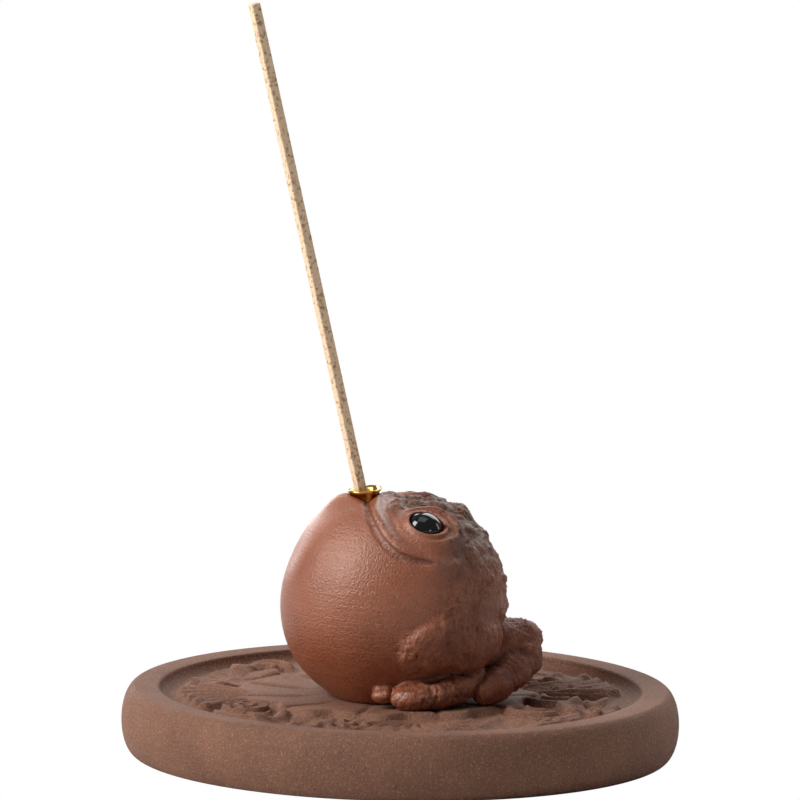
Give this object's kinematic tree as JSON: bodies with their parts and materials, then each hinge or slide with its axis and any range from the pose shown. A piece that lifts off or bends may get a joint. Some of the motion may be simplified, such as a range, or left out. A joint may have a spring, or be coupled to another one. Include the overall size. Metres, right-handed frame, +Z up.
{
  "type": "toad incense burner",
  "caption": "Round clay toad with glass eyes and a brass cup in its upturned mouth that holds an incense stick, seated on a thick round dish with a carved floor.",
  "frame": {"origin": "centre of the dish's foot, on the surface that the dish stands on", "axes": "+Z up, the toad looks towards -X turned a little to -Y, and its left side is at -Y"},
  "size_m": [0.11, 0.11, 0.1502],
  "materials": {
    "dish_clay": "unglazed brown stoneware, matte",
    "toad_clay": "unglazed red-brown stoneware, satin",
    "eye_glass": "black glass bead, glossy",
    "cup_brass": "polished brass",
    "incense": "pressed incense, matte"
  },
  "bodies": {
    "root": {"dish": "dish_clay", "toad": "toad_clay", "eye_left": "eye_glass", "eye_right": "eye_glass", "mouth_cup": "cup_brass", "incense_stick": "incense"}
  },
  "joints": []
}
